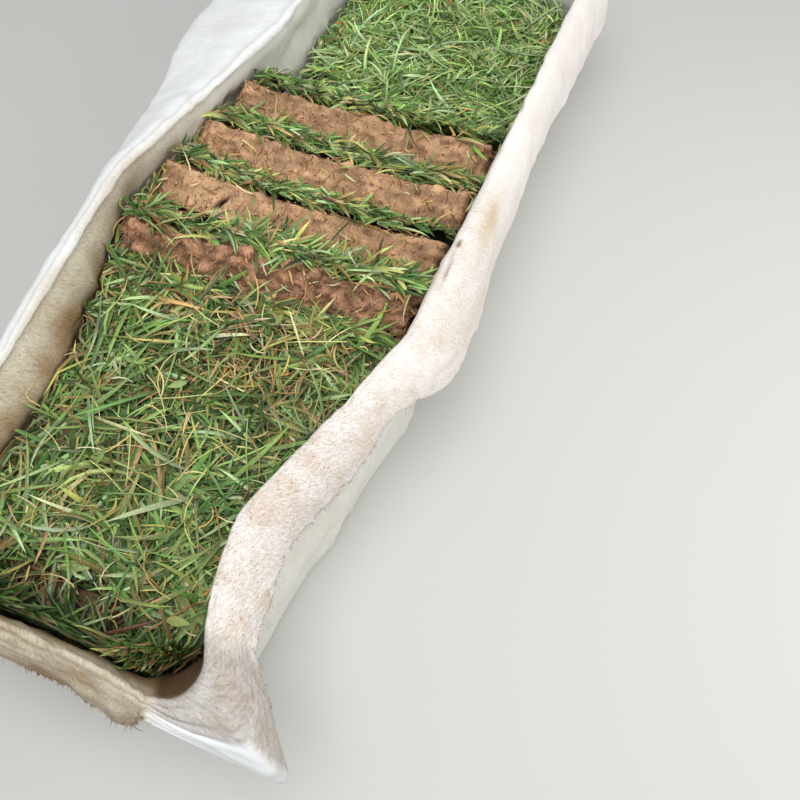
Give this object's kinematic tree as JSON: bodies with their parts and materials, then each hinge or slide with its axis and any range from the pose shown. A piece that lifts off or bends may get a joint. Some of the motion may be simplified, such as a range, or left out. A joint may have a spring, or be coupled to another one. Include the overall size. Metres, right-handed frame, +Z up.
{
  "type": "sack of turf slabs",
  "caption": "Slit-open woven sack lying on its side, packed with hand-cut turf slabs: grass up at both ends, on edge with cut soil showing between.",
  "frame": {"origin": "on the floor that the sack lies on, under the middle of its width, 500 mm from its near end inside", "axes": "+Z up, +Y along the sack from the near end, which has the short folded flap, to the far end, +X to the right seen from the near end"},
  "size_m": [0.5198, 1.2024, 0.2375],
  "materials": {
    "woven_sack": "white woven plastic cloth, creased, soiled inside and along the cut edge",
    "turf": "moist brown soil with roots, green grass on one side"
  },
  "bodies": {
    "root": {"sack": "woven_sack", "turf_far_1": "turf", "turf_far_2": "turf", "turf_leaning_1": "turf", "turf_leaning_2": "turf", "turf_leaning_3": "turf", "turf_leaning_4": "turf", "turf_near_1_1": "turf", "turf_near_1_2": "turf", "turf_near_2_1": "turf", "turf_near_2_2": "turf", "turf_near_3_1": "turf", "turf_near_3_2": "turf"}
  },
  "joints": []
}
